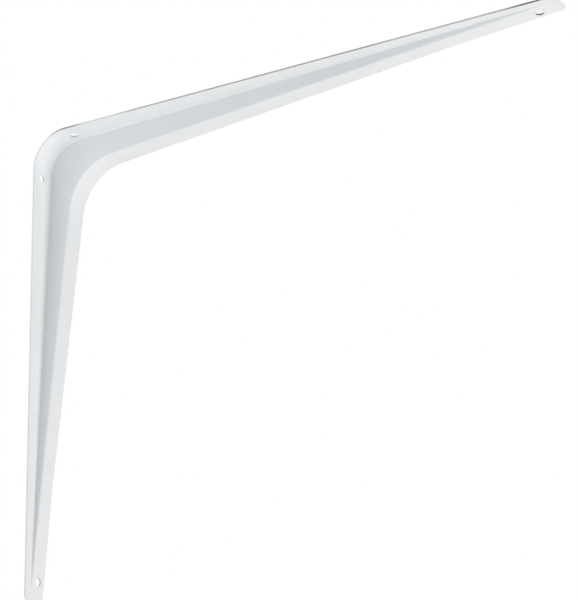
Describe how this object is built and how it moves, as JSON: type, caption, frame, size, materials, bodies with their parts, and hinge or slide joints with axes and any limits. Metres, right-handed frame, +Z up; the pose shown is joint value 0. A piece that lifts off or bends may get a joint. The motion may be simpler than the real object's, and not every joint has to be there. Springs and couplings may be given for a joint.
{
  "type": "shelf bracket",
  "caption": "Pressed sheet-steel shelf bracket: an L with a rounded corner and a stepped, folded section that tapers to flat tips, with screw holes for the wall and the shelf.",
  "frame": {"origin": "midpoint of the two wall screw holes, on the plane of the wall; the mount wall_screws is stated 0.95 mm further out, on the plane that both holes reach", "axes": "+Z up along the leg, +X out from the wall along the arm, +Y across the bracket, towards the inner flange"},
  "size_m": [0.3, 0.0254, 0.25],
  "materials": {
    "white_paint": "satin white stoving paint"
  },
  "bodies": {
    "root": {"bracket": "white_paint"}
  },
  "joints": []
}
